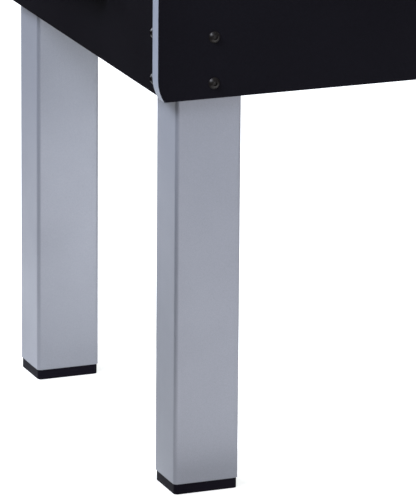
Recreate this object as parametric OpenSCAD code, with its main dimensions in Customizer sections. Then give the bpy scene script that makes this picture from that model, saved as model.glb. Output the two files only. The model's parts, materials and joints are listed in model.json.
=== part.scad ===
// Foosball table: a panelled cabinet on four rectangular tube legs, with eight through rods
// that turn and slide, twenty-six men, a goal and a ball tray at each end, and two counters.
// X runs along the pitch, Y across it and Z up. The origin is on the floor, under the centre.
// Front is the -Y side and left is the -X end.

/* [Cabinet] */
// Length of the cabinet over its edge bands
table_l = 1420; // [1180:5:1720]
// Width of the cabinet over its two side panels
table_w = 682; // [560:2:820]
// Height of the cabinet's top edge above the floor
table_h = 890; // [740:5:1080]
// Height of the side panels
side_h = 300; // [270:5:360]
// Thickness of the side panels
side_t = 22; // [18:0.5:28]
// Thickness of the end panels
end_t = 18; // [15:0.5:24]
// Depth of the end panels behind the ends of the side panels
end_recess = 14; // [6:1:24]
// Thickness of the silver edge band
band_t = 1.5; // [1:0.25:3]
// Radius of the arc at each corner of a side panel
corner_r = 60; // [40:1:80]
// Height over which that arc runs
corner_h = 33; // [20:1:40]

/* [Pitch] */
// Thickness of the playfield board
field_t = 12; // [8:1:18]
// Thickness of the inner end walls
goal_wall_t = 15; // [12:1:20]
// Width of the goal mouth
goal_w = 200; // [150:5:240]
// Height of the goal mouth
goal_h = 80; // [60:1:90]
// Depth of the ball drop behind the playfield
drop_w = 63; // [48:1:90]
// Thickness of the decks over the two ends
deck_t = 12; // [8:1:18]
// Width of the battens and beams under the playfield
batten_w = 20; // [15:1:30]
// Height of the two side battens
batten_h = 24; // [18:1:40]
// Height of the cross beams
beam_h = 60; // [40:1:90]
// Distance between the cross beams
beam_pitch = 300; // [200:10:360]
// Gap between the ends of the beams and the battens
beam_gap = 0.5; // [0.2:0.1:2]

/* [Ball trays] */
// Wall thickness of a ball tray
tray_t = 4; // [2:0.5:6]
// Clear depth of the cup outside the end panel
cup_l = 42; // [38:1:55]
// Height of the cup's lip above its floor
lip_h = 22; // [16:1:30]
// Height of the way out through the end panel, above the tray's floor
outlet_h = 49; // [42:1:54]
// Slope of the tray's floor in degrees
tray_slope = 12; // [6:1:15]

/* [Legs] */
// Width of a leg along the table
leg_x = 100; // [70:1:120]
// Width of a leg across the table
leg_y = 80; // [60:1:100]
// Outer corner radius of the leg tube
leg_r = 6; // [4:0.5:12]
// Wall of the leg tube
leg_wall = 3; // [2:0.25:3.5]
// Distance of a leg behind the side panel's outer face
leg_set_in = 10; // [4:1:16]
// Height of the leg's head inside the cabinet
head_h = 110; // [95:1:130]
// Height of a foot below the leg tube
foot_h = 16; // [10:1:25]
// Distance of a foot's sides inside the leg's
foot_inset = 1.3; // [0.5:0.1:3]
// Length of the foot's plug inside the tube
plug_h = 25; // [15:1:40]
// Clearance of that plug in the tube
plug_fit = 0.3; // [0.1:0.05:0.6]

/* [Leg bolts] */
// Bolt diameter
bolt_d = 10; // [8:1:12]
// Diameter of the button head
bolt_head_d = 17.5; // [14:0.5:21]
// Height of the button head
bolt_head_h = 5.5; // [4:0.25:7]
// Clearance round a bolt in its holes
bolt_play = 0.3; // [0.1:0.05:0.6]
// Height of the lower bolts above the cabinet's bottom edge
bolt_low = 22; // [15:1:30]
// Distance between the lower and the upper bolts
bolt_pitch = 67; // [50:1:75]
// Distance of the side bolts from the end of the side panel
side_bolt_x = 85; // [70:1:95]
// Distance of the end bolts from the side panel's outer face
end_bolt_y = 53; // [50:1:70]
// Height of a nut
nut_h = 8; // [6:0.5:10]
// Width of a nut across its flats
nut_af = 16; // [13:0.5:19]
// Radial clearance of a nut on its bolt
nut_fit = 0.1; // [0.05:0.05:0.2]

/* [Rods] */
// Diameter of a rod
rod_d = 16; // [12.7:0.1:18]
// Bore of the rod's tube
rod_bore = 11; // [6:0.5:12]
// Depth of the rods below the cabinet's top edge
rod_drop = 45; // [35:1:60]
// Travel of the goalkeeper rods to each side
goal_travel = 78; // [50:1:90]
// Travel of the two-man rods to each side
back_travel = 158; // [100:1:170]
// Travel of the five-man rods to each side
mid_travel = 54; // [40:1:65]
// Travel of the three-man forward rods to each side
front_travel = 98; // [80:1:110]
// Gap left at the end of a rod's travel
stop_gap = 0.3; // [0.2:0.1:1]
// Length of a rod beyond the cabinet when its tail is pushed fully in
rod_tail = 8; // [5:1:30]
// Gap between the cabinet and a handle pushed fully in
hand_gap = 15; // [10:1:40]
// Length of a handle
handle_l = 118; // [95:1:135]
// Largest diameter of a handle
handle_d = 34; // [28:0.5:38]
// Thickness of the handle's closed end
handle_wall = 10; // [6:1:16]
// Length of a rubber bumper
bumper_l = 22; // [15:1:30]
// Diameter of a rubber bumper
bumper_d = 27; // [22:0.5:32]

/* [Bearings] */
// Diameter of the inner sleeve that turns with a rod
sleeve_d = 24; // [22:0.5:28]
// Diameter of the sleeve's two rims
rim_d = 29; // [27:0.5:34]
// Thickness of the sleeve's rims
rim_t = 2; // [1.5:0.25:3]
// Radial clearance of a rod in its sleeve, and of the sleeve in its housing
run_fit = 0.05; // [0.02:0.01:0.1]
// Diameter of the housing's barrel in the side panel
barrel_d = 31; // [30:0.5:36]
// Clearance of that barrel in the panel
barrel_fit = 0.1; // [0.05:0.05:0.4]
// Diameter of the housing's two flanges
flange_d = 44; // [40:0.5:50]
// Thickness of the housing's flanges
flange_t = 4; // [3:0.5:6]

/* [Men] */
// Distance from the rod's axis to the sole of a man
man_reach = 72; // [60:0.5:78]
// Gap between a man's sole and the playfield
foot_gap = 4; // [3:0.5:8]
// Width of a man across the table
man_w = 24; // [20:0.5:28]
// Diameter of a man's body round the rod
hub_d = 25; // [23:0.5:28]
// Height of a man's head above the rod's axis
head_top = 37; // [32:0.5:40]
// Diameter of a man's head
head_d = 17; // [14:0.5:20]

/* [Counters] */
// Clear length of a counter's bar
count_l = 140; // [100:5:145]
// Diameter of the bar
bar_d = 8; // [6:0.5:10]
// Height of the bar's axis above the deck
bar_h = 14; // [13:0.5:18]
// Width of the sliding marker
marker_w = 16; // [12:1:20]
// Diameter of the marker
marker_d = 22; // [18:0.5:24]
// Radial clearance of the marker on its bar
marker_fit = 0.08; // [0.05:0.01:0.1]
// Side of the bar's square end posts
post_w = 14; // [10:1:18]
// Height of the end posts
post_h = 21; // [20:1:26]

/* [Hidden] */
$fn = 48;
cut = 1;

rods = [1, 2, 3, 4, 5, 6, 7, 8];
man_count = [3, 2, 3, 5, 5, 3, 2, 3];
travel = [
    goal_travel, back_travel, front_travel, mid_travel,
    mid_travel, front_travel, back_travel, goal_travel
];
handle_side = [-1, -1, 1, -1, 1, -1, 1, 1];

red = [0.66, 0.07, 0.06];
blue = [0.06, 0.16, 0.55];
black = [0.09, 0.09, 0.1];
silver = [0.62, 0.64, 0.69];
chrome = [0.78, 0.79, 0.8];

end_x = table_l / 2;
side_y = table_w / 2;
inner_y = side_y - side_t;
side_z = table_h - side_h;
end_face_x = end_x - end_recess;
end_inner_x = end_face_x - end_t;

field_end_x = end_inner_x - drop_w;
pitch_end_x = field_end_x - goal_wall_t;
rod_pitch = 2 * pitch_end_x / len(rods);
rod_z = table_h - rod_drop;
field_z = rod_z - man_reach - foot_gap;
under_z = field_z - field_t;
deck_z = table_h - deck_t;

// The tray's rim is just under the playfield, and its floor falls towards the way out.
tray_w = goal_w + 3 * tray_t;
tray_gap = 1;
rim_z = under_z - tray_gap;
floor_out_z = rim_z - outlet_h;
floor_in_z = floor_out_z + (drop_w - tray_gap) * tan(tray_slope);
tray_in_x = field_end_x + tray_gap;
cup_x = end_face_x + cup_l;
lip_z = floor_out_z + lip_h;

leg_x0 = -end_inner_x;
leg_y0 = -side_y + leg_set_in;
head_y = side_t - leg_set_in;
bolt_z = [side_z + bolt_low, side_z + bolt_low + bolt_pitch];
side_grip = side_t + leg_wall;
end_grip = end_t + leg_wall;

// Room for half a row of men between the rod's axis centre and the sleeve's inner rim.
stack_y = inner_y - flange_t - stop_gap - rim_t;
bearing_out = side_y + flange_t + stop_gap + rim_t;
row_room = stack_y - stop_gap - bumper_l - man_w / 2;

counter_x = (end_face_x + pitch_end_x) / 2;
marker_y = -(count_l - marker_w) / 2 + stop_gap;

function rod_x(i) = (i - (len(rods) + 1) / 2) * rod_pitch;

// Distance of the outermost man of rod i from the middle of his row.
function row_half(i) = row_room - travel[i - 1];

function man_y(i, k) = row_half(i) * (2 * k / (man_count[i - 1] - 1) - 1);

function team(i) = handle_side[i - 1] < 0 ? red : blue;

// ---- Placing ----

// Repeats a piece of the front left corner at the other end and on the other side.
module at_corner(right, back) {
    mirror([right, 0, 0])
        mirror([0, back, 0])
            children();
}

module at_both_ends() {
    children();
    rotate([0, 0, 180]) children();
}

// Stands an outline drawn in X and Z upright, from y to y + t.
module upright(y, t) {
    translate([0, y + t, 0])
        rotate([90, 0, 0])
            linear_extrude(t)
                children();
}

// Lays a piece drawn along Z on rod i's axis, with Z towards the handle.
module on_rod(i) {
    translate([rod_x(i), 0, rod_z])
        rotate([-90 * handle_side[i - 1], 0, 0])
            children();
}

module ring(outer_d, inner_d, z, h) {
    translate([0, 0, z]) difference() {
        cylinder(d = outer_d, h = h);
        translate([0, 0, -cut]) cylinder(d = inner_d, h = h + 2 * cut);
    }
}

// ---- Cabinet ----

// Outline of a side panel, drawn skin inside the band's outer face and drop lower.
module side_outline(skin, drop) {
    difference() {
        translate([-end_x + skin, side_z - drop])
            square([table_l - 2 * skin, side_h + drop - skin]);
        for (m = [0, 1])
            mirror([m, 0]) {
                translate([-end_x, side_z]) corner_waste(skin, drop);
                translate([-end_x, table_h]) mirror([0, 1]) corner_waste(skin, drop);
            }
    }
}

// What the arc takes off a square corner.
module corner_waste(skin, drop) {
    difference() {
        translate([-cut, -cut - drop]) square([corner_r + cut, corner_h + cut + drop]);
        translate([corner_r, corner_h]) circle(corner_r - skin);
    }
}

// Four bolt holes through one side panel, drawn along Y.
module side_bolt_holes() {
    for (x = [-end_x + side_bolt_x, end_x - side_bolt_x], z = bolt_z)
        translate([x, 0, z])
            rotate([90, 0, 0])
                cylinder(d = bolt_d + 2 * bolt_play, h = 2 * table_w, center = true);
}

module end_bolt_holes() {
    for (y = [-side_y + end_bolt_y, side_y - end_bolt_y], z = bolt_z)
        translate([0, y, z])
            rotate([0, 90, 0])
                cylinder(d = bolt_d + 2 * bolt_play, h = 2 * table_l, center = true);
}

module side_panel(y) {
    color(black) difference() {
        upright(y, side_t) side_outline(band_t, 0);
        side_bolt_holes();
        for (i = rods)
            translate([rod_x(i), y - cut, rod_z])
                rotate([-90, 0, 0])
                    cylinder(d = barrel_d + 2 * barrel_fit, h = side_t + 2 * cut);
    }
}

module edge_bands() {
    color(silver)
        for (y = [-side_y, inner_y])
            upright(y, side_t) difference() {
                side_outline(0, 0);
                side_outline(band_t, cut);
            }
}

module end_panel() {
    color(black) difference() {
        translate([-end_face_x, -inner_y, side_z])
            cube([end_t, 2 * inner_y, side_h - deck_t]);
        translate([-end_face_x - cut, -tray_w / 2, floor_out_z - tray_t])
            cube([end_t + 2 * cut, tray_w, outlet_h + tray_t + tray_gap]);
        end_bolt_holes();
    }
}

module playfield() {
    color([0.1, 0.42, 0.2])
        translate([-field_end_x, -inner_y, under_z])
            cube([2 * field_end_x, 2 * inner_y, field_t]);
}

module field_battens() {
    beam_l = 2 * (inner_y - batten_w - beam_gap);
    color([0.7, 0.56, 0.38]) {
        for (y = [-inner_y, inner_y - batten_w])
            translate([-field_end_x, y, under_z - batten_h])
                cube([2 * field_end_x, batten_w, batten_h]);
        for (x = [-beam_pitch, 0, beam_pitch])
            translate([x - batten_w / 2, -beam_l / 2, under_z - beam_h])
                cube([batten_w, beam_l, beam_h]);
    }
}

module goal_wall() {
    difference() {
        translate([-field_end_x, -inner_y, field_z])
            cube([goal_wall_t, 2 * inner_y, deck_z - field_z]);
        translate([-field_end_x - cut, -goal_w / 2, field_z - cut])
            cube([goal_wall_t + 2 * cut, goal_w, goal_h + cut]);
    }
}

module goal_walls() {
    color([0.1, 0.42, 0.2]) at_both_ends() goal_wall();
}

module end_decks() {
    color(black) at_both_ends()
        translate([-end_face_x, -inner_y, deck_z])
            cube([end_face_x - pitch_end_x, 2 * inner_y, deck_t]);
}

// A moulded tray, open at the top, that slopes from the goal out to a cup.
module ball_tray() {
    difference() {
        upright(-tray_w / 2, tray_w)
            polygon([
                [-tray_in_x, rim_z],
                [-tray_in_x, floor_in_z - tray_t],
                [-end_inner_x, floor_out_z - tray_t],
                [-cup_x - tray_t, floor_out_z - tray_t],
                [-cup_x - tray_t, lip_z],
                [-cup_x, lip_z],
                [-end_face_x, rim_z]
            ]);
        upright(-tray_w / 2 + tray_t, tray_w - 2 * tray_t)
            polygon([
                [-tray_in_x - tray_t, rim_z + cut],
                [-tray_in_x - tray_t, floor_in_z - tray_t * tan(tray_slope)],
                [-end_inner_x, floor_out_z],
                [-cup_x, floor_out_z],
                [-cup_x, rim_z + cut]
            ]);
    }
}

module ball_trays() {
    color(black) at_both_ends() ball_tray();
}

// ---- Legs ----

module rounded_rect(x, y, r) {
    translate([r, 0]) square([x - 2 * r, y]);
    translate([0, r]) square([x, y - 2 * r]);
    for (cx = [r, x - r], cy = [r, y - r])
        translate([cx, cy]) circle(r);
}

// A length of rounded tube from z0 to z1, less its wall when the wall is above zero.
module tube_solid(y0, z0, z1, wall) {
    translate([wall, y0 + wall, z0])
        linear_extrude(z1 - z0)
            rounded_rect(leg_x - 2 * wall, leg_y - y0 - 2 * wall, leg_r - wall);
}

// The leg's tube is closed by a plate at the cabinet's bottom edge, and a narrower head
// stands on it in the corner between the side panel and the end panel.
module leg(right, back) {
    color(silver) difference() {
        at_corner(right, back) translate([leg_x0, leg_y0, 0]) difference() {
            union() {
                tube_solid(0, foot_h, side_z, 0);
                tube_solid(head_y, side_z - leg_wall, side_z + head_h, 0);
            }
            tube_solid(0, foot_h - cut, side_z - leg_wall, leg_wall);
            tube_solid(head_y, side_z, side_z + head_h + cut, leg_wall);
        }
        intersection() {
            side_bolt_holes();
            bolt_reach(right, back, leg_x, head_y + 2 * leg_wall);
        }
        intersection() {
            end_bolt_holes();
            bolt_reach(right, back, 2 * leg_wall, leg_y);
        }
    }
}

// The part of a leg's head that its bolts pass, from the leg's outer corner.
module bolt_reach(right, back, x, y) {
    at_corner(right, back)
        translate([leg_x0 - cut, leg_y0 - cut, side_z])
            cube([x + cut, y + cut, head_h]);
}

module leg_feet() {
    plug_gap = leg_wall + plug_fit;
    color(black)
        for (right = [0, 1], back = [0, 1])
            at_corner(right, back) translate([leg_x0, leg_y0, 0]) {
                translate([foot_inset, foot_inset, 0])
                    linear_extrude(foot_h)
                        rounded_rect(leg_x - 2 * foot_inset, leg_y - 2 * foot_inset, leg_r);
                translate([plug_gap, plug_gap, 0])
                    linear_extrude(foot_h + plug_h)
                        rounded_rect(leg_x - 2 * plug_gap, leg_y - 2 * plug_gap, leg_r - leg_wall);
            }
}

// A button-head bolt along Z, seated at z = 0, with its nut behind the grip.
module bolt_and_nut(grip) {
    a = bolt_head_d / 2;
    dome_r = (a * a + bolt_head_h * bolt_head_h) / (2 * bolt_head_h);
    socket_d = 0.7 * bolt_d;
    difference() {
        intersection() {
            translate([0, 0, dome_r - bolt_head_h]) sphere(dome_r);
            translate([0, 0, -bolt_head_h]) cylinder(d = 2 * bolt_head_d, h = bolt_head_h);
        }
        translate([0, 0, -bolt_head_h - cut])
            cylinder(d = socket_d, h = cut + 0.6 * bolt_head_h, $fn = 6);
    }
    cylinder(d = bolt_d, h = grip + nut_h + bolt_play);
    difference() {
        translate([0, 0, grip]) cylinder(d = nut_af / cos(30), h = nut_h, $fn = 6);
        cylinder(d = bolt_d + 2 * nut_fit, h = grip + nut_h + cut);
    }
}

module leg_bolts() {
    color(black)
        for (right = [0, 1], back = [0, 1], z = bolt_z)
            at_corner(right, back) {
                translate([-end_x + side_bolt_x, -side_y, z])
                    rotate([-90, 0, 0])
                        bolt_and_nut(side_grip);
                translate([-end_face_x, -side_y + end_bolt_y, z])
                    rotate([0, 90, 0])
                        bolt_and_nut(end_grip);
            }
}

// ---- Rods and bearings ----

// Repeats a bearing piece, drawn along Z from the table's middle, on both sides.
module on_both_sides() {
    children();
    mirror([0, 0, 1]) children();
}

module bearing_housings() {
    bore = sleeve_d + 2 * run_fit;
    color(black)
        for (i = rods)
            on_rod(i) on_both_sides() difference() {
                union() {
                    translate([0, 0, side_y]) cylinder(d = flange_d, h = flange_t);
                    translate([0, 0, inner_y - cut]) cylinder(d = barrel_d, h = side_t + 2 * cut);
                    translate([0, 0, inner_y - flange_t]) cylinder(d = flange_d, h = flange_t);
                }
                translate([0, 0, inner_y - flange_t - cut])
                    cylinder(d = bore, h = side_t + 2 * flange_t + 2 * cut);
            }
}

// The two inner sleeves of rod i, which turn in their housings while the rod slides in them.
module sleeves(i) {
    color([0.8, 0.8, 0.78])
        on_rod(i) on_both_sides() difference() {
            union() {
                translate([0, 0, stack_y]) cylinder(d = sleeve_d, h = bearing_out - stack_y);
                translate([0, 0, stack_y]) cylinder(d = rim_d, h = rim_t);
                translate([0, 0, bearing_out - rim_t]) cylinder(d = rim_d, h = rim_t);
            }
            translate([0, 0, stack_y - cut])
                cylinder(d = rod_d + 2 * run_fit, h = bearing_out - stack_y + 2 * cut);
        }
}

function handle_z(i) = bearing_out + travel[i - 1] + hand_gap;

// The rod runs from its tail, past both bearings, to the bottom of the handle's bore.
module rod(i) {
    tail_z = -(bearing_out + travel[i - 1] + rod_tail);
    color(chrome)
        on_rod(i)
            ring(rod_d, rod_bore, tail_z, handle_z(i) + handle_l - handle_wall - tail_z);
}

// A moulded grip with a collar, a waist, a full belly and a rounded end.
module handle(i) {
    r = handle_d / 2;
    l = handle_l;
    color(black)
        on_rod(i) translate([0, 0, handle_z(i)]) difference() {
            rotate_extrude()
                polygon([
                    [0, 0], [r - 3, 0], [r - 1, 2], [r - 1, 0.07 * l], [r - 4, 0.12 * l],
                    [r - 4, 0.2 * l], [r - 1, 0.39 * l], [r, 0.56 * l], [r, 0.7 * l],
                    [r - 1, 0.86 * l], [r - 3, 0.95 * l], [r - 7, l], [0, l]
                ]);
            translate([0, 0, -cut]) cylinder(d = rod_d, h = l - handle_wall + cut);
        }
}

// The two rubber bumpers, outside the outermost men.
module bumpers(i) {
    near_z = row_half(i) + man_w / 2;
    edge = 2;
    color([0.12, 0.12, 0.12])
        on_rod(i) on_both_sides() translate([0, 0, near_z])
            rotate_extrude()
                polygon([
                    [rod_d / 2, 0], [bumper_d / 2 - edge, 0], [bumper_d / 2, edge],
                    [bumper_d / 2, bumper_l - edge], [bumper_d / 2 - edge, bumper_l],
                    [rod_d / 2, bumper_l]
                ]);
}

// ---- Men ----

// One man with the rod's bore through his chest: head, shoulders, legs and a kicking foot.
module man() {
    foot_x = 10;
    foot_z = 18;
    ankle_x = 5.5;
    shoulder_z = head_top - head_d + 1;
    difference() {
        union() {
            rotate([90, 0, 0]) cylinder(d = hub_d, h = man_w, center = true);
            upright(-man_w / 2, man_w)
                polygon([
                    [-hub_d / 2 + 1, 0], [hub_d / 2 - 1, 0], [hub_d / 2 - 4, shoulder_z],
                    [-hub_d / 2 + 4, shoulder_z]
                ]);
            translate([0, 0, head_top - head_d / 2]) sphere(d = head_d);
            upright(-man_w / 2 + 2, man_w - 4)
                polygon([
                    [-hub_d / 2 + 2, 0], [-ankle_x, foot_z - man_reach],
                    [ankle_x, foot_z - man_reach], [hub_d / 2 - 2, 0]
                ]);
            upright(-man_w / 2, man_w)
                polygon([
                    [-ankle_x, foot_z - man_reach], [-foot_x, 4 - man_reach],
                    [-foot_x + 2, -man_reach], [foot_x - 2, -man_reach],
                    [foot_x, 4 - man_reach], [ankle_x, foot_z - man_reach]
                ]);
        }
        rotate([90, 0, 0]) cylinder(d = rod_d, h = man_w + 2 * cut, center = true);
    }
}

module players(i) {
    color(team(i))
        for (k = [0 : man_count[i - 1] - 1])
            translate([rod_x(i), man_y(i, k), rod_z]) man();
}

// ---- Counters ----

module counter_bars() {
    color(chrome) at_both_ends() translate([-counter_x, 0, table_h]) {
        translate([0, 0, bar_h])
            rotate([90, 0, 0])
                cylinder(d = bar_d, h = count_l + post_w, center = true);
        for (y = [-count_l / 2 - post_w, count_l / 2])
            translate([-post_w / 2, y, 0]) cube([post_w, post_w, post_h]);
    }
}

module marker() {
    translate([-counter_x, marker_y, table_h + bar_h])
        rotate([90, 0, 0])
            ring(marker_d, bar_d + 2 * marker_fit, -marker_w / 2, marker_w);
}

module counter_marker_left() {
    color(red) marker();
}

module counter_marker_right() {
    color(blue) rotate([0, 0, 180]) marker();
}

side_panel(-side_y);  // side_panel_front
side_panel(inner_y);  // side_panel_back
end_panel();  // end_panel_left
rotate([0, 0, 180]) end_panel();  // end_panel_right
edge_bands();
playfield();
field_battens();
goal_walls();
end_decks();
ball_trays();
leg(0, 0);  // leg_front_left
leg(1, 0);  // leg_front_right
leg(0, 1);  // leg_back_left
leg(1, 1);  // leg_back_right
leg_feet();
leg_bolts();
bearing_housings();
counter_bars();
counter_marker_left();
counter_marker_right();
for (i = rods) {
    rod(i);
    players(i);
    handle(i);
    bumpers(i);
    sleeves(i);
}
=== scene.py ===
import json
import math

import bmesh
import bpy
from mathutils import Matrix, Vector

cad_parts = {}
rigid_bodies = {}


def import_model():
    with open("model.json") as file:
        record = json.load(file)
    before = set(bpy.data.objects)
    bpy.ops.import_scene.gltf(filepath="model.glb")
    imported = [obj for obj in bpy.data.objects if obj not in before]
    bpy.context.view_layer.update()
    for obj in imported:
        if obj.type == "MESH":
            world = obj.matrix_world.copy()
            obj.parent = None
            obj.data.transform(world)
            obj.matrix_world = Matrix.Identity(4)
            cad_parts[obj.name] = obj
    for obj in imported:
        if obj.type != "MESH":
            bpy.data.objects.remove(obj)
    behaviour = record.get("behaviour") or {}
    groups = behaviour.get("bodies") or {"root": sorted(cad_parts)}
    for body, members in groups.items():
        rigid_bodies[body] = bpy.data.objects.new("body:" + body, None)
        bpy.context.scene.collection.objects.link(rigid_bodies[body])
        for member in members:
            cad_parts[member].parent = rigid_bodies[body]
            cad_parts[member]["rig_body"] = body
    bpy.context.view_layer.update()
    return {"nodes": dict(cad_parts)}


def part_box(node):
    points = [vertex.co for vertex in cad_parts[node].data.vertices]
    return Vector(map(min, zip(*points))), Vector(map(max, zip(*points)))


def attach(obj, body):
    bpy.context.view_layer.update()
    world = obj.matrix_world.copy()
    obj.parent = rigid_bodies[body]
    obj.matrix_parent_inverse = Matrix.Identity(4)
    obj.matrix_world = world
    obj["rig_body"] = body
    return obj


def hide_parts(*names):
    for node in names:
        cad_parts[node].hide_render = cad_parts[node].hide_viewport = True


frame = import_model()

mm = 0.001

# ---- The studio ----
# A pale floor that runs out of sight, under four soft boxes and two weak glows near the floor.
# Two low dark flags, on the left and behind, put a shadow line on the legs' round corners.
world = bpy.data.worlds.new("studio_air")
world.use_nodes = True
world.node_tree.nodes["Background"].inputs["Color"].default_value = (0.93, 0.95, 1.0, 1)
world.node_tree.nodes["Background"].inputs["Strength"].default_value = 0.32
bpy.context.scene.world = world
bpy.context.scene.view_settings.view_transform = "Standard"

floor_paint = bpy.data.materials.new("floor_paint")
floor_paint.use_nodes = True
floor_shader = floor_paint.node_tree.nodes["Principled BSDF"]
floor_shader.inputs["Base Color"].default_value = (0.8, 0.8, 0.8, 1)
floor_shader.inputs["Roughness"].default_value = 0.9
floor_shader.inputs["Emission Color"].default_value = (1, 1, 1, 1)
floor_shader.inputs["Emission Strength"].default_value = 0.75


def slab_mesh(name, corners):
    """A flat sheet with the four corners given."""
    mesh = bpy.data.meshes.new(name)
    mesh.from_pydata([Vector(c) for c in corners], [], [(0, 1, 2, 3)])
    sheet = bpy.data.objects.new(name, mesh)
    bpy.context.scene.collection.objects.link(sheet)
    return sheet


floor_half = 20.0
floor_z = -0.2 * mm
floor = slab_mesh("studio_floor", [
    (-floor_half, -floor_half, floor_z), (floor_half, -floor_half, floor_z),
    (floor_half, floor_half, floor_z), (-floor_half, floor_half, floor_z),
])
floor.data.materials.append(floor_paint)

flag_cloth = bpy.data.materials.new("flag_cloth")
flag_cloth.use_nodes = True
flag_shader = flag_cloth.node_tree.nodes["Principled BSDF"]
flag_shader.inputs["Base Color"].default_value = (0.03, 0.03, 0.03, 1)
flag_shader.inputs["Roughness"].default_value = 1.0
flags = {  # name: (one end, other end, height)
    "dark_flag_left": ((-0.92, -1.42), (-1.78, 1.1), 0.93),
    "dark_flag_back": ((-1.5, 1.5), (-0.9, 1.7), 0.55),
}
for name, (start, stop, height) in flags.items():
    flag = slab_mesh(name, [(*start, 0), (*stop, 0), (*stop, height), (*start, height)])
    flag.data.materials.append(flag_cloth)
    flag.visible_camera = False


def soft_light(name, place, aim, size, watts, colour):
    """A square soft box at place that faces aim and stays out of the picture."""
    lamp = bpy.data.lights.new(name, "AREA")
    lamp.size = size
    lamp.energy = watts
    lamp.color = colour
    light = bpy.data.objects.new(name, lamp)
    light.location = place
    light.rotation_euler = (Vector(aim) - Vector(place)).to_track_quat("-Z", "Y").to_euler()
    light.visible_camera = False
    bpy.context.scene.collection.objects.link(light)


middle = Vector((0, 0, 0.6))
cool_blue = (0.79, 0.87, 1.0)
pale_blue = (0.82, 0.88, 1.0)
near_white = (0.98, 0.98, 1.0)
soft_light("box_back_left", (-3.3, 4.4, 2.8), middle, 2.2, 230, cool_blue)
soft_light("box_left_high", (-3.2, -1.4, 3.4), middle, 1.6, 205, pale_blue)
soft_light("box_front", (0.2, -5.6, 2.2), middle, 2.2, 45, near_white)
soft_light("box_overhead", (0, 0, 4.2), middle, 3.0, 20, (1, 1, 1))
soft_light("glow_front", (-0.45, -0.8, 0.03), (-0.45, -0.8, 1), 0.8, 1.8, near_white)
soft_light("fill_under", (-0.5, -0.15, 0.12), (-0.68, 0.28, 0.08), 0.4, 0.5, near_white)

# The camera stands far off with a long lens, and leans a little to one side. Angles are in
# degrees, and focal_share is the focal length over the picture's height.
camera_place = (-3.2636, -6.9783, 2.4508)
camera_turn = 21.625
camera_dip = 16.251
camera_roll = 0.445
focal_share = 10.5
camera_data = bpy.data.cameras.new("camera")
camera_data.sensor_width = 36
camera_data.lens = focal_share * camera_data.sensor_width
camera = bpy.data.objects.new("camera", camera_data)
bpy.context.scene.collection.objects.link(camera)
camera.matrix_world = (
    Matrix.Translation(camera_place)
    @ Matrix.Rotation(math.radians(-camera_turn), 4, "Z")
    @ Matrix.Rotation(math.radians(90 - camera_dip), 4, "X")
    @ Matrix.Rotation(math.radians(camera_roll), 4, "Z")
)
bpy.context.scene.camera = camera


def clouding(material, scale, detail, stretch=(1, 1, 1)):
    """A noise fixed to the piece, stretched along its grain."""
    nodes = material.node_tree.nodes
    link = material.node_tree.links.new
    place = nodes.new("ShaderNodeTexCoord")
    fit = nodes.new("ShaderNodeMapping")
    fit.inputs["Scale"].default_value = stretch
    noise = nodes.new("ShaderNodeTexNoise")
    noise.inputs["Scale"].default_value = scale
    noise.inputs["Detail"].default_value = detail
    link(place.outputs["Object"], fit.inputs["Vector"])
    link(fit.outputs["Vector"], noise.inputs["Vector"])
    return noise.outputs["Fac"]


def spread(material, share, low, high, dark=0.35, light=0.65):
    """Takes the part of a noise between dark and light to the range from low to high."""
    reach = material.node_tree.nodes.new("ShaderNodeMapRange")
    reach.inputs["From Min"].default_value = dark
    reach.inputs["From Max"].default_value = light
    reach.inputs["To Min"].default_value = low
    reach.inputs["To Max"].default_value = high
    material.node_tree.links.new(share, reach.inputs["Value"])
    return reach.outputs["Result"]


def mixed(material, share, dark, light, how="MIX"):
    """Mixes from dark to light by share. Each of the two is a colour or another node's output."""
    mix = material.node_tree.nodes.new("ShaderNodeMix")
    mix.data_type = "RGBA"
    mix.blend_type = how
    for socket, value in (("Factor", share), ("A", dark), ("B", light)):
        if isinstance(value, bpy.types.NodeSocket):
            material.node_tree.links.new(value, mix.inputs[socket])
        elif isinstance(value, tuple):
            mix.inputs[socket].default_value = (*value, 1)
        else:
            mix.inputs[socket].default_value = value
    return mix.outputs["Result"]


def coat(name, dark, light, rough, metal=0.0, shine=0.5, cloud=7.0, speck=900.0, fleck=0.04,
         grain=1300.0, depth=0.12, stretch=(1, 1, 1)):
    """A finish that clouds between two colours, with fine specks, uneven gloss and a grain."""
    material = bpy.data.materials.new(name)
    material.use_nodes = True
    link = material.node_tree.links.new
    shader = material.node_tree.nodes["Principled BSDF"]
    shader.inputs["Metallic"].default_value = metal
    shader.inputs["Specular IOR Level"].default_value = shine
    broad = clouding(material, cloud, 4.0, stretch)
    fine = clouding(material, speck, 2.0, stretch)
    tone = mixed(material, spread(material, broad, 0, 1), dark, light)
    tone = mixed(material, 1.0, tone, spread(material, fine, 1 - fleck, 1 + fleck), "MULTIPLY")
    link(tone, shader.inputs["Base Color"])
    link(spread(material, broad, rough + 0.05, rough - 0.05), shader.inputs["Roughness"])
    bump = material.node_tree.nodes.new("ShaderNodeBump")
    bump.inputs["Strength"].default_value = depth
    bump.inputs["Distance"].default_value = 0.1 * mm
    link(clouding(material, grain, 3.0, stretch), bump.inputs["Height"])
    link(bump.outputs["Normal"], shader.inputs["Normal"])
    return material


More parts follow.
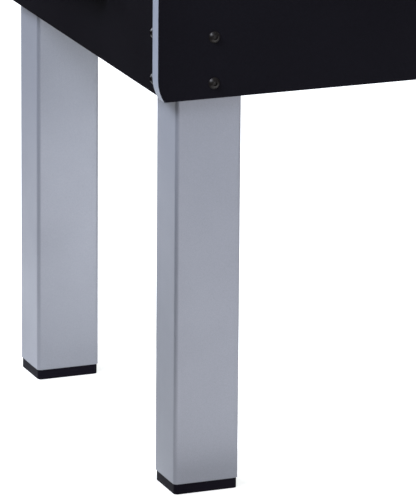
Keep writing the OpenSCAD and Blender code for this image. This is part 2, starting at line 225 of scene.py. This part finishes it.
def fit_on(name, shape, finishes, stands_for=(), body="cabinet", smooth=32):
    """Makes a piece of shape that rides on body, or on the body of the nodes it stands for."""
    mesh = bpy.data.meshes.new(name)
    shape.to_mesh(mesh)
    shape.free()
    mesh.polygons.foreach_set("use_smooth", [True] * len(mesh.polygons))
    mesh.set_sharp_from_angle(angle=math.radians(smooth))
    for finish in finishes:
        mesh.materials.append(finish)
    piece = bpy.data.objects.new(name, mesh)
    bpy.context.scene.collection.objects.link(piece)
    piece.modifiers.new("flat_faces_stay_flat", "WEIGHTED_NORMAL").keep_sharp = True
    if stands_for:
        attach(piece, frame["nodes"][stands_for[0]]["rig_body"])
        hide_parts(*stands_for)
    else:
        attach(piece, body)
    return piece


def eased(node, edge, steps=2):
    """A node's own shape with whole flat faces and its sharp edges eased by edge mm."""
    shape = bmesh.new()
    shape.from_mesh(frame["nodes"][node].data)
    bmesh.ops.remove_doubles(shape, verts=shape.verts, dist=0.001 * mm)
    bmesh.ops.dissolve_limit(
        shape, angle_limit=math.radians(0.5), verts=shape.verts, edges=shape.edges
    )
    for face in shape.faces:
        face.material_index = 0
    sharp = [e for e in shape.edges if e.is_manifold and e.calc_face_angle(0) > math.radians(40)]
    cuts = bmesh.ops.bevel(
        shape, geom=sharp, offset=edge * mm, offset_type="OFFSET", segments=steps,
        profile=0.5, affect="EDGES", clamp_overlap=True, material=-1,
    )
    return shape, cuts["faces"]


leg_silver = coat(
    "leg_silver", (0.243, 0.252, 0.288), (0.261, 0.270, 0.308), 0.42, metal=0.3, shine=0.4,
    cloud=5, speck=1500, fleck=0.07, grain=1400, depth=0.35,
)
for leg in ("leg_front_left", "leg_front_right", "leg_back_left", "leg_back_right"):
    shape, _ = eased(leg, 0.4)
    fit_on(leg + "_tube", shape, [leg_silver], [leg])

# ---- Feet ----
# Moulded black plastic plugs, pushed into the tubes, whose soles stand a little inside the
# tube's sides. The moulding is faintly grained.
foot_black = coat(
    "foot_black", (0.0055, 0.0045, 0.0085), (0.0075, 0.006, 0.011), 0.5, shine=0.03, grain=700,
    depth=0.4,
)
shape, _ = eased("leg_feet", 0.8)
fit_on("leg_feet_moulded", shape, [foot_black], ["leg_feet"])

# ---- Leg bolts ----
# Black oxide button-head bolts with hexagon sockets, two through the side panel and two
# through the end panel at each corner, each with its nut inside the leg's head.
bolt_black = coat(
    "bolt_black", (0.010, 0.0085, 0.008), (0.020, 0.0165, 0.0155), 0.36, metal=0.45, shine=0.3,
    cloud=60, depth=0.15,
)
shape, _ = eased("leg_bolts", 0.25, steps=1)
fit_on("leg_bolts_oxide", shape, [bolt_black], ["leg_bolts"])

# ---- Side panels ----
# 22 mm board faced with satin black melamine, cut to a shallow arc at the corners and bored
# for the bearings and the leg bolts.
melamine = coat(
    "black_melamine", (0.0068, 0.0064, 0.0087), (0.0080, 0.0075, 0.0102), 0.42, shine=0.004,
    cloud=3, speck=600, fleck=0.1, grain=420, depth=0.1,
)
for node in ("side_panel_front", "side_panel_back"):
    shape, _ = eased(node, 0.3, steps=1)
    fit_on(node + "_board", shape, [melamine], [node])

# ---- Edge bands ----
# Silver-faced plastic edging, ironed on round the ends and the top of each side panel. Its
# long edges are trimmed flush with the board, so they show the plastic's dark core.
band_silver = coat(
    "band_silver", (0.24, 0.262, 0.318), (0.255, 0.277, 0.334), 0.4, metal=0.2, shine=0.4,
    cloud=4, fleck=0.03, depth=0.08,
)
shape, _ = eased("edge_bands", 0.4)
sideways = 0.6  # how far a face's normal turns to a side before it counts as a trimmed edge
for face in shape.faces:
    face.material_index = 1 if abs(face.normal.y) > sideways else 0
fit_on("edge_bands_silver", shape, [band_silver, melamine], ["edge_bands"])

# ---- End panels ----
# 18 mm board, set back between the side panels and slotted for the ball tray. Its melamine is
# the side panels' own, with painted shade that makes it darker than theirs, and the eased edges
# show the brown board under it.
raw_board = coat(
    "raw_board", (0.05, 0.036, 0.028), (0.085, 0.062, 0.05), 0.85, shine=0.2, cloud=40,
    speck=500, fleck=0.2, grain=500, depth=0.5,
)
# Painted shade: the side panels' black melamine, given a darker colour for the end panels.
end_melamine_painted_shade = coat(
    "end_melamine_painted_shade", (0.0050, 0.0044, 0.0060), (0.0060, 0.0053, 0.0072), 0.46, shine=0.003,
    cloud=3, speck=600, fleck=0.1, grain=420, depth=0.1,
)
for node in ("end_panel_left", "end_panel_right"):
    shape, cuts = eased(node, 0.45, steps=1)
    for face in cuts:
        face.material_index = 1
    fit_on(node + "_board", shape, [end_melamine_painted_shade, raw_board], [node])

# ---- Battens and beams ----
# Planed pine: two battens under the playfield's long edges and three beams across, glued and
# screwed from below. The grain runs along each piece.
pine = [
    coat(
        "pine_" + way, (0.50, 0.33, 0.16), (0.66, 0.49, 0.29), 0.6, shine=0.3, cloud=90,
        speck=260, fleck=0.12, grain=420, depth=0.5, stretch=stretch,
    )
    for way, stretch in (("along", (0.03, 1, 1)), ("across", (1, 0.03, 1)))
]
shape, _ = eased("field_battens", 0.8)
batten_w = 20.3 * mm  # the 20 mm batten, and a little to spare
batten_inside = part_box("field_battens")[1].y - batten_w
for face in shape.faces:
    low_y = min(v.co.y for v in face.verts)
    high_y = max(v.co.y for v in face.verts)
    is_batten = min(abs(low_y), abs(high_y)) > batten_inside
    face.material_index = 0 if is_batten else 1
fit_on("field_battens_pine", shape, pine, ["field_battens"])

# ---- Playfield ----
# A 12 mm board with a printed green face. The white markings are screen printed on it in a
# thick ink: halfway line and circle, goal areas with their arcs, spots and corner arcs.
pitch_green = coat(
    "pitch_green", (0.020, 0.145, 0.040), (0.030, 0.185, 0.055), 0.38, shine=0.4, cloud=14,
    speck=700, fleck=0.06, grain=900, depth=0.12,
)
shape, _ = eased("playfield", 0.3, steps=1)
fit_on("playfield_board", shape, [pitch_green], ["playfield"])

line_white = coat(
    "line_white", (0.66, 0.67, 0.66), (0.78, 0.79, 0.78), 0.45, cloud=60, speck=1500,
    fleck=0.05, depth=0.2,
)


def lumps(node):
    """The boxes of a node's separate solids as (low, high) corners, in order along the table."""
    shape = bmesh.new()
    shape.from_mesh(frame["nodes"][node].data)
    bmesh.ops.remove_doubles(shape, verts=shape.verts, dist=0.001 * mm)
    unseen = set(shape.verts)
    boxes = []
    while unseen:
        edge_of_search = [unseen.pop()]
        found = []
        while edge_of_search:
            vert = edge_of_search.pop()
            found.append(vert.co.copy())
            for edge in vert.link_edges:
                other = edge.other_vert(vert)
                if other in unseen:
                    unseen.remove(other)
                    edge_of_search.append(other)
        low = Vector([min(p[k] for p in found) for k in range(3)])
        high = Vector([max(p[k] for p in found) for k in range(3)])
        boxes.append((low, high))
    shape.free()
    return sorted(boxes, key=lambda box: [round(c, 4) for c in (*box[0], *box[1])])


def ink_line(shape, points, width, level, thick=0.12, closed=False):
    """Adds a printed line of width mm through points (x, y) in mm at a height in metres."""
    count = len(points)
    rails = []
    for k, (x, y) in enumerate(points):
        before = points[k - 1] if closed or k else points[k]
        after = points[(k + 1) % count] if closed or k < count - 1 else points[k]
        along = Vector((after[0] - before[0], after[1] - before[1])).normalized()
        side = Vector((-along.y, along.x)) * width / 2
        rails.append([
            shape.verts.new(((x + side.x * s) * mm, (y + side.y * s) * mm, level + up * mm))
            for s, up in ((-1, -0.05), (-1, thick), (1, thick), (1, -0.05))
        ])
    for a, b in zip(rails, rails[1:] + rails[:1] if closed else rails[1:]):
        for k in range(4):
            shape.faces.new((a[k], b[k], b[(k + 1) % 4], a[(k + 1) % 4]))
    if not closed:
        shape.faces.new(rails[0])
        shape.faces.new(rails[-1][::-1])


def arc(x, y, radius, start, stop, steps=40):
    """Points round (x, y) from one angle to another, in degrees from the table's length."""
    turns = [math.radians(start + (stop - start) * k / steps) for k in range(steps + 1)]
    return [(x + radius * math.cos(t), y + radius * math.sin(t)) for t in turns]


walls = lumps("goal_walls")
field_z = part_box("playfield")[1].z
pitch_x = walls[-1][0].x / mm
pitch_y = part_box("playfield")[1].y / mm
line = 4.0
line_gap = 4  # from the halfway line's ends to the side panels
area_gap = 3  # from the areas' lines to the inner end walls
circle_radius = 100
goal_areas = ((78, 145), (190, 225))  # depth and half width of each
penalty_spot = 135  # from the inner end wall
penalty_radius = 90
penalty_reach = 55  # from the spot to the front of the larger area
corner_radius = 40
shape = bmesh.new()
ink_line(shape, [(0, line_gap - pitch_y), (0, pitch_y - line_gap)], line, field_z)
ink_line(shape, arc(0, 0, circle_radius, 0, 360)[:-1], line, field_z, closed=True)
ink_line(shape, arc(0, 0, 3, 0, 360, 20)[:-1], 5.9, field_z, 0.2, closed=True)
for end in (-1, 1):
    for depth, half_width in goal_areas:
        x0 = end * (pitch_x - area_gap)
        x1 = end * (pitch_x - depth)
        ink_line(shape, [(x0, -half_width), (x1 - end * line / 2, -half_width)], line, field_z)
        ink_line(shape, [(x1 - end * line / 2, half_width), (x0, half_width)], line, field_z)
        ink_line(shape, [(x1, line / 2 - half_width), (x1, half_width - line / 2)], line, field_z)
    spot_x = end * (pitch_x - penalty_spot)
    ink_line(shape, arc(spot_x, 0, 2.5, 0, 360, 20)[:-1], 4.9, field_z, 0.2, closed=True)
    facing = 180 if end > 0 else 0
    opening = math.degrees(math.acos(penalty_reach / penalty_radius))
    bow = arc(spot_x, 0, penalty_radius, facing - opening, facing + opening, 24)
    ink_line(shape, bow, line, field_z)
    for side in (-1, 1):
        heading = math.degrees(math.atan2(-side, -end))
        corner_x = end * pitch_x
        corner_y = side * pitch_y
        corner = arc(corner_x, corner_y, corner_radius, heading - 42, heading + 42, 14)
        ink_line(shape, corner, line, field_z)
bmesh.ops.recalc_face_normals(shape, faces=shape.faces)
fit_on("pitch_markings", shape, [line_white])

# ---- Inner end walls ----
# 15 mm boards in the pitch's green, each cut out for its goal mouth. A thin white moulded
# trim is pinned round the mouth on the pitch side.
shape, _ = eased("goal_walls", 0.5)
fit_on("goal_walls_board", shape, [pitch_green], ["goal_walls"])

trim_white = coat(
    "trim_white", (0.70, 0.71, 0.72), (0.78, 0.79, 0.80), 0.35, cloud=20, speck=1100,
    fleck=0.03, depth=0.15,
)
tray_overlap = 6  # how far the tray reaches past each side of the mouth
mouth_h = 80
mouth_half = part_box("ball_trays")[1].y / mm - tray_overlap
mouth_top = field_z / mm + mouth_h
trim_w = 7
trim_thick = 1.2
shape = bmesh.new()
for end in (-1, 1):
    face_x = end * pitch_x
    rim = []
    for out in (0, trim_w):
        for thick in (0, trim_thick):
            path = [
                (-mouth_half - out, field_z / mm), (-mouth_half - out, mouth_top + out),
                (mouth_half + out, mouth_top + out), (mouth_half + out, field_z / mm),
            ]
            rim.append([
                shape.verts.new(((face_x - end * thick) * mm, y * mm, z * mm)) for y, z in path
            ])
    inner_back, inner_front, outer_back, outer_front = rim
    loops = (inner_back, inner_front, outer_front, outer_back)
    for a, b in zip(loops, loops[1:] + loops[:1]):
        for k in range(3):
            shape.faces.new((a[k], a[k + 1], b[k + 1], b[k]))
    for k in (0, 3):
        shape.faces.new([loop[k] for loop in loops])
bmesh.ops.recalc_face_normals(shape, faces=shape.faces)
bmesh.ops.bevel(
    shape, geom=shape.edges[:], offset=0.3 * mm, segments=2, profile=0.5, affect="EDGES",
    clamp_overlap=True,
)
fit_on("goal_trims", shape, [trim_white])

# ---- Ball trays ----
# Black moulded trays that slope from the goal mouth, out through the end panel, to a cup.
# The moulding has a light leather grain.
tray_black = coat(
    "tray_black", (0.010, 0.010, 0.011), (0.016, 0.016, 0.018), 0.48, shine=0.3, cloud=12,
    grain=520, depth=0.5,
)
shape, _ = eased("ball_trays", 1.0)
fit_on("ball_trays_moulded", shape, [tray_black], ["ball_trays"])

# ---- End decks ----
# 12 mm black board that closes the two ends over the ball trays, screwed down at the corners
# with flat countersunk screws.
shape, _ = eased("end_decks", 0.6, steps=1)
fit_on("end_decks_board", shape, [melamine], ["end_decks"])


def turned(shape, profile, middle, axis, sides=48, dent=None, finish=0):
    """Adds a turned shape from (distance along axis, radius) pairs in mm, starting at middle.
    dent(angle, distance) is what is cut from the radius in mm."""
    axis = Vector(axis).normalized()
    out = axis.orthogonal().normalized()
    across = axis.cross(out)
    rings = []
    for along, radius in profile:
        centre = Vector(middle) + axis * along * mm
        if radius == 0:
            rings.append([shape.verts.new(centre)])
            continue
        ring = []
        for k in range(sides):
            turn = math.tau * k / sides
            reach = (radius - (dent(turn, along) if dent else 0)) * mm
            ring.append(shape.verts.new(
                centre + (out * math.cos(turn) + across * math.sin(turn)) * reach
            ))
        rings.append(ring)
    for a, b in zip(rings, rings[1:]):
        for k in range(sides):
            n = (k + 1) % sides
            corners = (a[k % len(a)], a[n % len(a)], b[n % len(b)], b[k % len(b)])
            face = shape.faces.new(list(dict.fromkeys(corners)))
            face.material_index = finish


def screw(shape, place, axis, radius, rise=0.8, head=0, slot=1):
    """Adds a screw's head, which stands rise mm out of the face at place, and its cross slot, a
    flat dark cross of painted shade in place of a cut recess.
    """
    head_profile = [
        (-0.6, 0), (-0.6, radius), (rise * 0.4, radius), (rise * 0.85, radius * 0.86),
        (rise, radius * 0.7), (rise, 0),
    ]
    turned(shape, head_profile, place, axis, 20, finish=head)
    axis = Vector(axis).normalized()
    out = axis.orthogonal().normalized()
    across = axis.cross(out)
    top = Vector(place) + axis * (rise + 0.03) * mm
    for long_way, short_way in ((out, across), (across, out)):
        arm = long_way * radius * 0.55 * mm
        half = short_way * radius * 0.14 * mm
        corners = [shape.verts.new(top + arm * a + half * b)
                   for a, b in ((-1, -1), (1, -1), (1, 1), (-1, 1))]
        base = [shape.verts.new(v.co - axis * 0.2 * mm) for v in corners]
        new = [shape.faces.new(corners)]
        for k in range(4):
            new.append(shape.faces.new((corners[k], base[k], base[k - 3], corners[k - 3])))
        for face in new:
            face.material_index = slot


# Painted shade: the flat dark crosses drawn on the screw heads stand for the shade in their
# recesses.
slot_painted_shade = coat(
    "slot_painted_shade", (0.003, 0.003, 0.003), (0.005, 0.005, 0.005), 0.8, shine=0.1, cloud=90,
    depth=0.2,
)
shape = bmesh.new()
from_edge = 14 * mm
from_end = 22 * mm
to_inner_pair = 190 * mm
for low, high in lumps("end_decks"):
    screws_y = (
        low.y + from_end, high.y - from_end, low.y + to_inner_pair, high.y - to_inner_pair
    )
    for x in (low.x + from_edge, high.x - from_edge):
        for y in screws_y:
            screw(shape, (x, y, high.z), (0, 0, 1), 3.6, rise=0.5)
fit_on("deck_screws", shape, [bolt_black, slot_painted_shade])

# ---- Bearing housings ----
# Black nylon housings pushed through the side panels from outside and from inside, with a
# flange on each face. Three small screws hold each flange.
housing_black = coat(
    "housing_black", (0.008, 0.008, 0.009), (0.014, 0.014, 0.015), 0.42, shine=0.3, cloud=25,
    grain=800, depth=0.25,
)
shape, _ = eased("bearing_housings", 0.7)
fit_on("bearing_housings_nylon", shape, [housing_black], ["bearing_housings"])

shape = bmesh.new()
screw_ring = 18.4 * mm
for low, high in lumps("bearing_housings"):
    middle_x = (low.x + high.x) / 2
    middle_z = (low.z + high.z) / 2
    for turn in (90, 210, 330):
        x = middle_x + screw_ring * math.cos(math.radians(turn))
        z = middle_z + screw_ring * math.sin(math.radians(turn))
        screw(shape, (x, low.y, z), (0, -1, 0), 2.2)
        screw(shape, (x, high.y, z), (0, 1, 0), 2.2)
fit_on("housing_screws", shape, [bolt_black, slot_painted_shade])

# ---- Sleeves ----
# Natural white nylon sleeves that turn in the housings. The rods slide through them.
sleeve_nylon = coat(
    "sleeve_nylon", (0.56, 0.56, 0.52), (0.66, 0.66, 0.62), 0.4, cloud=60, fleck=0.03,
    depth=0.12,
)
rows = range(1, 9)
for i in rows:
    shape, _ = eased(f"sleeves_{i}", 0.35)
    fit_on(f"sleeves_{i}_nylon", shape, [sleeve_nylon], [f"sleeves_{i}"])

# ---- Rods ----
# Hard chromed steel tube, ground before plating, with a black plastic cap on the tail. The
# finest polishing lines run round the rod.
rod_chrome = coat(
    "rod_chrome", (0.60, 0.61, 0.62), (0.74, 0.75, 0.76), 0.14, metal=1.0, cloud=30,
    speck=600, fleck=0.04, grain=500, depth=0.06, stretch=(0.3, 1, 0.3),
)
on_rod = 8.02  # bore radius, in mm, of whatever sits on a 16 mm rod
for i in rows:
    node = f"rod_{i}"
    shape, _ = eased(node, 0.5)
    fit_on(node + "_tube", shape, [rod_chrome], [node])

    low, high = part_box(node)
    away = 1 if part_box(f"handle_{i}")[1].y < 0 else -1
    tail = Vector(((low.x + high.x) / 2, high.y if away > 0 else low.y, (low.z + high.z) / 2))
    shape = bmesh.new()
    cap_profile = [
        (-5.5, on_rod), (-5.5, 8.6), (-5.1, 9.0), (-0.2, 9.0), (0.5, 8.7), (0.9, 7.9),
        (1.0, 6.8), (1.0, 0),
    ]
    turned(shape, cap_profile, tail, (0, away, 0), 40)
    fit_on(f"rod_cap_{i}", shape, [tray_black], body=f"row_{i}")

# ---- Men ----
# Moulded plastic figures in one piece, painted by mask: boots, socks, shorts, shirt, skin and
# hair. The rod passes through the chest, and a button screw through the back holds each one.
man_levels = [  # height, half depth, half width, squareness and paint, in mm from the rod
    (-72.0, 8.0, 10.4, 4, "boot"), (-70.6, 9.5, 11.7, 4, "boot"), (-66.5, 9.9, 12.0, 4, "boot"),
    (-62.0, 8.9, 11.7, 4, "boot"), (-58.0, 6.8, 10.6, 3, "boot"), (-55.5, 6.0, 10.0, 3, "sock"),
    (-54.8, 6.3, 10.2, 3, "sock"), (-50.0, 5.9, 9.7, 3, "sock"), (-44.0, 6.3, 9.8, 3, "sock"),
    (-40.5, 6.5, 10.0, 3, "skin"), (-39.8, 6.1, 9.7, 3, "skin"), (-35.0, 6.2, 9.7, 3, "skin"),
    (-30.0, 6.8, 10.1, 3, "skin"), (-26.5, 7.2, 10.4, 3, "shorts"),
    (-25.8, 8.2, 11.1, 3, "shorts"), (-20.0, 8.6, 11.3, 3, "shorts"),
    (-13.0, 9.0, 11.2, 3, "shorts"), (-9.0, 9.2, 10.9, 3, "shirt"), (-8.3, 9.9, 11.3, 3, "shirt"),
    (-4.0, 10.5, 11.8, 3.4, "shirt"), (1.0, 10.8, 12.0, 3.4, "shirt"),
    (6.0, 10.6, 12.0, 3.4, "shirt"), (10.5, 10.0, 12.0, 3.2, "shirt"),
    (14.0, 8.9, 11.8, 3, "shirt"), (16.6, 7.3, 10.6, 2.6, "shirt"),
    (18.6, 5.5, 7.8, 2.2, "shirt"), (19.8, 4.4, 4.9, 2, "skin"), (21.2, 4.1, 4.4, 2, "skin"),
    (22.2, 4.9, 4.8, 2, "skin"), (23.8, 6.3, 5.8, 2, "skin"), (26.0, 7.4, 6.6, 2, "skin"),
    (28.6, 7.9, 7.0, 2, "skin"), (30.4, 8.0, 7.1, 2, "hair"), (30.9, 8.4, 7.4, 2, "hair"),
    (33.0, 7.9, 7.0, 2, "hair"), (35.0, 6.5, 5.8, 2, "hair"), (36.3, 4.3, 3.9, 2, "hair"),
    (36.9, 2.0, 1.9, 2, "hair"),
]
man_paints = ["boot", "sock", "skin", "shorts", "shirt", "hair"]
ankles, hips = -60, -14  # between them a groove parts the legs
waist, shoulders = -10, 16  # between them a crease parts each arm from the chest
arm_crease = 7.9


def add_man(shape, middle, sides=40):
    """Adds a man, whose chest is at middle, as rings from his soles to his crown."""
    rings = []
    for z, depth, width, square, _ in man_levels:
        ring = []
        for k in range(sides):
            turn = math.tau * (k + 0.5) / sides
            cosine = math.cos(turn)
            sine = math.sin(turn)
            x = math.copysign(abs(cosine) ** (2 / square), cosine) * depth
            y = math.copysign(abs(sine) ** (2 / square), sine) * width
            if ankles < z < hips:
                x *= 1 - 0.42 * math.exp(-((y / 2.3) ** 2))
            if waist < z < shoulders:
                x *= 1 - 0.20 * math.exp(-(((abs(y) - arm_crease) / 1.1) ** 2))
            ring.append(shape.verts.new(middle + Vector((x, y, z)) * mm))
        rings.append(ring)
    for level, (a, b) in enumerate(zip(rings, rings[1:])):
        for k in range(sides):
            n = (k + 1) % sides
            face = shape.faces.new((a[k], a[n], b[n], b[k]))
            face.material_index = man_paints.index(man_levels[level][4])
    shape.faces.new(rings[0][::-1]).material_index = man_paints.index("boot")
    shape.faces.new(rings[-1]).material_index = man_paints.index("hair")
    boss = [(-12, on_rod), (-12, 9.6), (-11.4, 10.2), (11.4, 10.2), (12, 9.6), (12, on_rod)]
    turned(shape, boss, middle, (0, 1, 0), 36, finish=man_paints.index("shirt"))


def enamel(name, colour):
    """Brushed-on enamel over plastic: a little uneven in tone, with a soft gloss."""
    low = tuple(c * 0.86 for c in colour)
    return coat(name, low, colour, 0.33, shine=0.5, cloud=110, speck=1400, fleck=0.05,
                grain=650, depth=0.2)


boot_black = enamel("man_boot", (0.014, 0.013, 0.013))
skin_tan = enamel("man_skin", (0.56, 0.33, 0.21))
hair_brown = enamel("man_hair", (0.030, 0.018, 0.012))
kit_white = enamel("man_white", (0.74, 0.74, 0.73))
shirt_red = (0.55, 0.018, 0.016)
shirt_blue = (0.014, 0.07, 0.45)
kits = {
    -1: [boot_black, enamel("sock_red", (0.50, 0.016, 0.014)), skin_tan, kit_white,
         enamel("shirt_red", shirt_red), hair_brown],
    1: [boot_black, enamel("sock_blue", (0.014, 0.06, 0.40)), skin_tan, kit_white,
        enamel("shirt_blue", shirt_blue), hair_brown],
}
chest_depth = 10.3
for i in rows:
    node = f"players_{i}"
    red_side = -1 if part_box(f"handle_{i}")[1].y < 0 else 1
    rod_low, rod_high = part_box(f"rod_{i}")
    axis_z = (rod_low.z + rod_high.z) / 2
    shape = bmesh.new()
    screws = bmesh.new()
    for low, high in lumps(node):
        chest = Vector(((low.x + high.x) / 2, (low.y + high.y) / 2, axis_z))
        add_man(shape, chest)
        back = chest + Vector((red_side * chest_depth, 0, 0)) * mm
        screw(screws, back, (red_side, 0, 0), 3.0, rise=1.6)
    fit_on(f"men_{i}", shape, kits[red_side], [node], smooth=38)
    fit_on(f"men_screws_{i}", screws, [bolt_black, slot_painted_shade], body=f"row_{i}")

# ---- Bumpers ----
# Black rubber rings pushed onto each rod outside the outermost men, with a groove round the
# middle so that they give when they meet the bearing.
bumper_rubber = coat(
    "bumper_rubber", (0.008, 0.008, 0.008), (0.017, 0.017, 0.017), 0.72, shine=0.25, cloud=70,
    speck=1100, fleck=0.12, grain=900, depth=0.5,
)
for i in rows:
    node = f"bumpers_{i}"
    shape = bmesh.new()
    for low, high in lumps(node):
        long = (high.y - low.y) / mm
        full = (high.z - low.z) / mm / 2
        half = long / 2
        profile = [
            (0, on_rod), (0, full - 2), (0.6, full - 0.8), (2, full), (half - 2.6, full),
            (half - 1.9, full - 0.4), (half - 1.2, full - 1.4), (half + 1.2, full - 1.4),
            (half + 1.9, full - 0.4), (half + 2.6, full), (long - 2, full),
            (long - 0.6, full - 0.8), (long, full - 2), (long, on_rod),
        ]
        turned(shape, profile, ((low.x + high.x) / 2, low.y, (low.z + high.z) / 2), (0, 1, 0), 40)
    fit_on(f"bumpers_{i}_rubber", shape, [bumper_rubber], [node])

# ---- Handles ----
# Black rubber grips moulded over a plastic core and pressed onto the rods, with a collar, a
# waist for the thumb, rings and shallow flutes on the belly, and a screw in the closed end.
grip_rubber = coat(
    "grip_rubber", (0.009, 0.009, 0.010), (0.018, 0.018, 0.019), 0.62, shine=0.3, cloud=45,
    speck=1000, fleck=0.1, grain=800, depth=0.5,
)


def grip_radius(share):
    """How far the grip's outside is below its largest radius, at a share of its length."""
    stops = [
        (0, 3), (0.017, 1), (0.07, 1), (0.12, 4), (0.2, 4), (0.39, 1), (0.56, 0), (0.7, 0),
        (0.86, 1), (0.95, 3), (1, 7),
    ]
    for (a, low), (b, high) in zip(stops, stops[1:]):
        if share <= b:
            rise = (share - a) / (b - a)
            rise = rise * rise * (3 - 2 * rise)
            return low + (high - low) * rise
    return stops[-1][1]


belly_start = 30
belly_stop = 104
flute_depth = 0.55


def flute(turn, along):
    """Sixteen shallow flutes over the belly of the grip, which fade out at both ends."""
    fade = max(0.0, min(1.0, (along - belly_start) / 8, (belly_stop - along) / 6))
    return flute_depth * fade * (0.5 + 0.5 * math.cos(16 * turn)) ** 2


ring_span = (34, 100)
ring_pitch = 11
ring_depth = 0.9
for i in rows:
    node = f"handle_{i}"
    low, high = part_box(node)
    way = -1 if high.y < 0 else 1
    near = Vector(((low.x + high.x) / 2, high.y if way < 0 else low.y, (low.z + high.z) / 2))
    long = (high.y - low.y) / mm
    full = (high.z - low.z) / mm / 2
    profile = [(0, on_rod)]
    for k in range(int(long)):
        radius = full - grip_radius(k / long)
        if ring_span[0] <= k <= ring_span[1] and k % ring_pitch in (4, 5):
            radius -= ring_depth
        profile.append((k, radius - 0.1))
    profile += [(long, full - 7.6), (long, 6.5), (long - 1, 6.0), (long - 1, 0)]
    shape = bmesh.new()
    turned(shape, profile, near, (0, way, 0), 64, dent=flute)
    end = near + Vector((0, way * (long - 1) * mm, 0))
    screw(shape, end, (0, way, 0), 4.2, rise=0.8, head=1, slot=2)
    fit_on(f"handle_{i}_grip", shape, [grip_rubber, bolt_black, slot_painted_shade], [node])

# ---- Counters ----
# A chromed bar between two square posts on each deck, with a coloured marker that slides. A
# white strip beside it is printed with a tick and a number for each goal.
counter_steel = coat(
    "counter_steel", (0.58, 0.59, 0.60), (0.70, 0.71, 0.72), 0.22, metal=1.0, cloud=50,
    speck=700, fleck=0.05, grain=600, depth=0.1,
)
shape, _ = eased("counter_bars", 0.6)
fit_on("counter_bars_plated", shape, [counter_steel], ["counter_bars"])

print_black = coat(
    "print_black", (0.006, 0.006, 0.007), (0.012, 0.012, 0.013), 0.5, cloud=80, depth=0.1
)
deck_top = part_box("end_decks")[1].z
travel = 123 * mm
strip_from_bar = 26 * mm
strip_half_w = 9 * mm
strip_half_l = 72 * mm
strip_thick = 0.5 * mm
tick_from_middle = 8.2
tick_long = 3.4
tick_w = 0.8
number_size = 8.5 * mm
number_from_middle = 2.6 * mm
for side, end, colour in (("left", -1, shirt_red), ("right", 1, shirt_blue)):
    node = "counter_marker_" + side
    shape, _ = eased(node, 0.8)
    fit_on(node + "_plastic", shape, [enamel("marker_" + side, colour)], [node])

    low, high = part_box(node)
    bar_x = (low.x + high.x) / 2
    middle_y = (low.y + high.y) / 2
    ring = bmesh.new()
    full = (high.z - low.z) / mm / 2
    band = [(-0.7, full - 0.4), (-0.7, full + 0.1), (0.7, full + 0.1), (0.7, full - 0.4)]
    turned(ring, band, (bar_x, middle_y, (low.z + high.z) / 2), (0, 1, 0), 48)
    fit_on(f"marker_line_{side}", ring, [line_white], body=f"marker_{side}")

    strip = bmesh.new()
    strip_x = bar_x - end * strip_from_bar
    strip_low = Vector((strip_x - strip_half_w, -strip_half_l, deck_top))
    strip_high = Vector((strip_x + strip_half_w, strip_half_l, deck_top + strip_thick))
    bmesh.ops.create_cube(strip, size=1)
    for vert in strip.verts:
        for k in range(3):
            vert.co[k] = strip_low[k] if vert.co[k] < 0 else strip_high[k]
    upright = [e for e in strip.edges if abs(e.verts[0].co.z - e.verts[1].co.z) > 0.1 * mm]
    bmesh.ops.bevel(
        strip, geom=upright, offset=2 * mm, segments=5, profile=0.5, affect="EDGES",
        clamp_overlap=True,
    )
    fit_on(f"score_strip_{side}", strip, [line_white])

    ticks = bmesh.new()
    printing = bmesh.new()
    for goals in range(11):
        y = middle_y + (travel * goals / 10 if end < 0 else -travel * goals / 10)
        tick_x = strip_x / mm + end * tick_from_middle
        tick = [(tick_x, y / mm), (tick_x - end * tick_long, y / mm)]
        ink_line(ticks, tick, tick_w, deck_top + strip_thick, 0.06)
        letters = bpy.data.curves.new("number", "FONT")
        letters.body = str(goals)
        letters.size = number_size
        letters.align_x = "CENTER"
        letters.align_y = "CENTER"
        letters.extrude = 0.05 * mm
        letters.resolution_u = 3
        number = bpy.data.objects.new("number", letters)
        bpy.context.scene.collection.objects.link(number)
        outline = bpy.data.meshes.new_from_object(number)
        outline.transform(
            Matrix.Translation((strip_x - end * number_from_middle, y, deck_top + 0.53 * mm))
            @ Matrix.Rotation(math.radians(90 * end), 4, "Z")
        )
        printing.from_mesh(outline)
        bpy.data.objects.remove(number)
        bpy.data.curves.remove(letters)
        bpy.data.meshes.remove(outline)
    fit_on(f"score_ticks_{side}", ticks, [print_black])
    fit_on(f"score_numbers_{side}", printing, [print_black])
